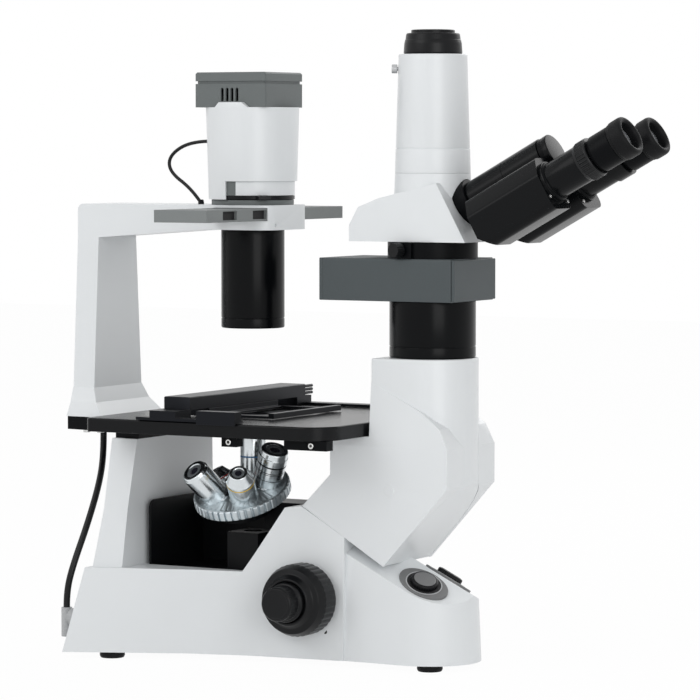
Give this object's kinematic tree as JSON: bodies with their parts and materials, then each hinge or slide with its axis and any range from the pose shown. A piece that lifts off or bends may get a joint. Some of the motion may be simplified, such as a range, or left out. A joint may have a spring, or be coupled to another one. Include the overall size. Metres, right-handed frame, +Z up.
{
  "type": "inverted microscope",
  "caption": "Inverted laboratory microscope with tall lamp pillar, rotating nosepiece under a mechanical stage, fluorescence box, camera tube and swinging binocular eye tubes.",
  "frame": {"origin": "Centre of the overall box in plan, on the bench that the feet stand on.", "axes": "+Z up, +X toward the user, where the eyepieces point, and +Y to the user's right, away from the lamp slider's long end."},
  "size_m": [0.5986, 0.288, 0.5936],
  "materials": {
    "white_paint": "satin white powder coat",
    "black_paint": "satin black",
    "black_plastic": "matte",
    "grey_plastic": "fine texture",
    "dark_housing": "fine matte texture",
    "rubber": "soft matte",
    "steel": "ground",
    "anodised": "black anodised",
    "satin_aluminium": "satin",
    "chrome": "polished",
    "glass": "clear"
  },
  "bodies": {
    "stand": {"base_frame": "white_paint", "bottom_cover": "white_paint", "rubber_feet": "rubber", "cavity_liner": "black_plastic", "column_housing": "white_paint", "column_side_covers": "white_paint", "stage_plate": "black_paint", "stage_insert": "steel", "stage_brackets": "steel", "pillar_shelf": "black_paint", "illumination_pillar": "white_paint", "condenser_tube": "black_paint", "lenses_and_mirrors": "glass", "lamp_rings": "white_paint", "lamp_house": "white_paint", "lamp_cap": "grey_plastic", "led_module": "anodised", "lamp_lead": "rubber", "rear_cable": "rubber", "rear_connector": "satin_aluminium", "rear_sockets": "black_plastic", "power_supply": "anodised", "dimmer_bezels": "black_plastic", "field_tube": "black_paint", "fluorescence_housing": "dark_housing", "fluorescence_end_covers": "dark_housing", "filter_cube": "anodised", "head_clamp_ring": "black_paint", "focus_guide": "steel"},
    "left_dimmer": {"left_dimmer_knob": "black_plastic"},
    "right_dimmer": {"right_dimmer_knob": "black_plastic"},
    "coarse_focus": {"focus_shaft": "steel", "left_coarse_knob": "black_plastic", "right_coarse_knob": "black_plastic"},
    "fine_focus": {"left_fine_knob": "black_plastic", "right_fine_knob": "black_plastic"},
    "nosepiece_carriage": {"focus_carriage": "black_paint"},
    "nosepiece": {"nosepiece_turret": "satin_aluminium", "objective_working": "chrome", "objective_short": "chrome", "objective_left": "chrome", "objective_near": "chrome", "objective_right": "chrome"},
    "stage_carriage": {"cross_bar": "anodised"},
    "holder": {"specimen_holder": "steel"},
    "cross_drive": {"cross_drive_knob": "black_plastic"},
    "holder_drive": {"holder_drive_knob": "black_plastic"},
    "phase_slide": {"phase_slider": "grey_plastic"},
    "lever": {"aperture_lever": "black_plastic"},
    "clamp_screw": {"head_clamp_screw": "black_plastic"},
    "head": {"head_body": "white_paint", "phototube": "white_paint", "phototube_cap": "black_plastic", "binocular_hub": "black_paint"},
    "tube_screw": {"phototube_screw": "steel"},
    "left_eye": {"left_prism_housing": "black_paint"},
    "right_eye": {"right_prism_housing": "black_paint", "right_eyepiece": "rubber"},
    "diopter": {"left_diopter_ring": "black_plastic", "left_eyepiece": "rubber"}
  },
  "joints": [
    {"name": "coarse_focus_turn", "type": "hinge", "parent": "stand", "child": "coarse_focus", "pos_m": [-0.03077, 0, 0.0635], "axis": [0, 1, 0], "range_deg": [-80, 26]},
    {"name": "focus_travel", "type": "slide", "parent": "stand", "child": "nosepiece_carriage", "axis": [0, 0, 1], "range_m": [-0.009, 0.003]},
    {"name": "fine_focus_turn", "type": "hinge", "parent": "coarse_focus", "child": "fine_focus", "pos_m": [-0.03077, 0, 0.0635], "axis": [0, 1, 0], "range_deg": [-180, 180]},
    {"name": "nosepiece_turn", "type": "hinge", "parent": "nosepiece_carriage", "child": "nosepiece", "pos_m": [-0.12127, 0, 0.112], "axis": [0, -0.4226, 0.9063], "continuous": true},
    {"name": "cross_travel", "type": "slide", "parent": "stand", "child": "stage_carriage", "axis": [1, 0, 0], "range_m": [-0.038, 0.038]},
    {"name": "holder_travel", "type": "slide", "parent": "stage_carriage", "child": "holder", "axis": [0, 1, 0], "range_m": [-0.033, 0.033]},
    {"name": "cross_drive_turn", "type": "hinge", "parent": "stage_carriage", "child": "cross_drive", "pos_m": [-0.04627, 0.131, 0.189], "axis": [0, 0, 1], "range_deg": [-180, 180]},
    {"name": "holder_drive_turn", "type": "hinge", "parent": "stage_carriage", "child": "holder_drive", "pos_m": [-0.04627, 0.131, 0.189], "axis": [0, 0, 1], "range_deg": [-160, 160]},
    {"name": "phase_travel", "type": "slide", "parent": "stand", "child": "phase_slide", "axis": [0, 1, 0], "range_m": [-0.062, 0.062]},
    {"name": "aperture_turn", "type": "hinge", "parent": "stand", "child": "lever", "pos_m": [-0.12127, 0, 0.435], "axis": [0, 0, 1], "range_deg": [-25, 25]},
    {"name": "left_dimmer_turn", "type": "hinge", "parent": "stand", "child": "left_dimmer", "pos_m": [0.07703, -0.024, 0.0791], "axis": [0.4145, -0.3256, 0.8498], "range_deg": [0, 270]},
    {"name": "right_dimmer_turn", "type": "hinge", "parent": "stand", "child": "right_dimmer", "pos_m": [0.07703, 0.024, 0.0791], "axis": [0.4145, 0.3256, 0.8498], "range_deg": [0, 270]},
    {"name": "head_swivel", "type": "hinge", "parent": "stand", "child": "head", "pos_m": [0.07353, 0, 0.3974], "axis": [0, 0, 1], "range_deg": [-90, 90]},
    {"name": "head_clamp_turn", "type": "hinge", "parent": "stand", "child": "clamp_screw", "pos_m": [0.06242, -0.03634, 0.3902], "axis": [-0.2924, -0.9563, 0], "range_deg": [-180, 180]},
    {"name": "tube_screw_turn", "type": "hinge", "parent": "head", "child": "tube_screw", "pos_m": [0.04398, -0.01378, 0.5575], "axis": [-0.9063, -0.4226, 0], "range_deg": [-180, 180]},
    {"name": "left_eye_swing", "type": "hinge", "parent": "head", "child": "left_eye", "pos_m": [0.15423, 0, 0.4565], "axis": [0.8746, 0, 0.4848], "range_deg": [-16, 9]},
    {"name": "right_eye_swing", "type": "hinge", "parent": "head", "child": "right_eye", "pos_m": [0.15423, 0, 0.4565], "axis": [0.8746, 0, 0.4848], "range_deg": [-9, 16]},
    {"name": "diopter_turn", "type": "hinge", "parent": "left_eye", "child": "diopter", "pos_m": [0.16901, -0.0295, 0.42982], "axis": [0.8746, 0, 0.4848], "range_deg": [-90, 90]}
  ],
  "couplings": [
    {"joint": "focus_travel", "follows": "coarse_focus_turn", "m_per_rad": 0.006},
    {"joint": "cross_drive_turn", "follows": "cross_travel", "rad_per_m": 80},
    {"joint": "holder_drive_turn", "follows": "holder_travel", "rad_per_m": 80},
    {"joint": "right_eye_swing", "follows": "left_eye_swing", "ratio": -1}
  ]
}
